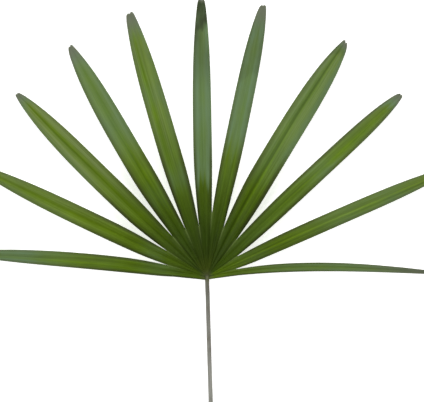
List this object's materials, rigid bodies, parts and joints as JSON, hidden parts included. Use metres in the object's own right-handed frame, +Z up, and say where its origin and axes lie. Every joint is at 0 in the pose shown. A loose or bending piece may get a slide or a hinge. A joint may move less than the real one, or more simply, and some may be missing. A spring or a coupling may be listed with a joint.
{
  "type": "fan palm leaf",
  "caption": "Cut fan palm leaf lying face up: a half-round fan of pleated, blunt-tipped segments that part from one web on a slender stalk.",
  "frame": {"origin": "middle of the small flat spot under the petiole's head, where the stalk meets the blade; the surface it lies on is z = 0", "axes": "+X to the right of the fan, +Y from the hub up the middle of the fan with the stalk towards -Y, +Z up out of the leaf's upper side"},
  "size_m": [0.443, 0.4846, 0.0192],
  "materials": {
    "leaf_green": "satin, finely veined",
    "stalk": "dull, fibrous"
  },
  "bodies": {
    "root": {"blade": "leaf_green", "petiole": "stalk"}
  },
  "joints": []
}
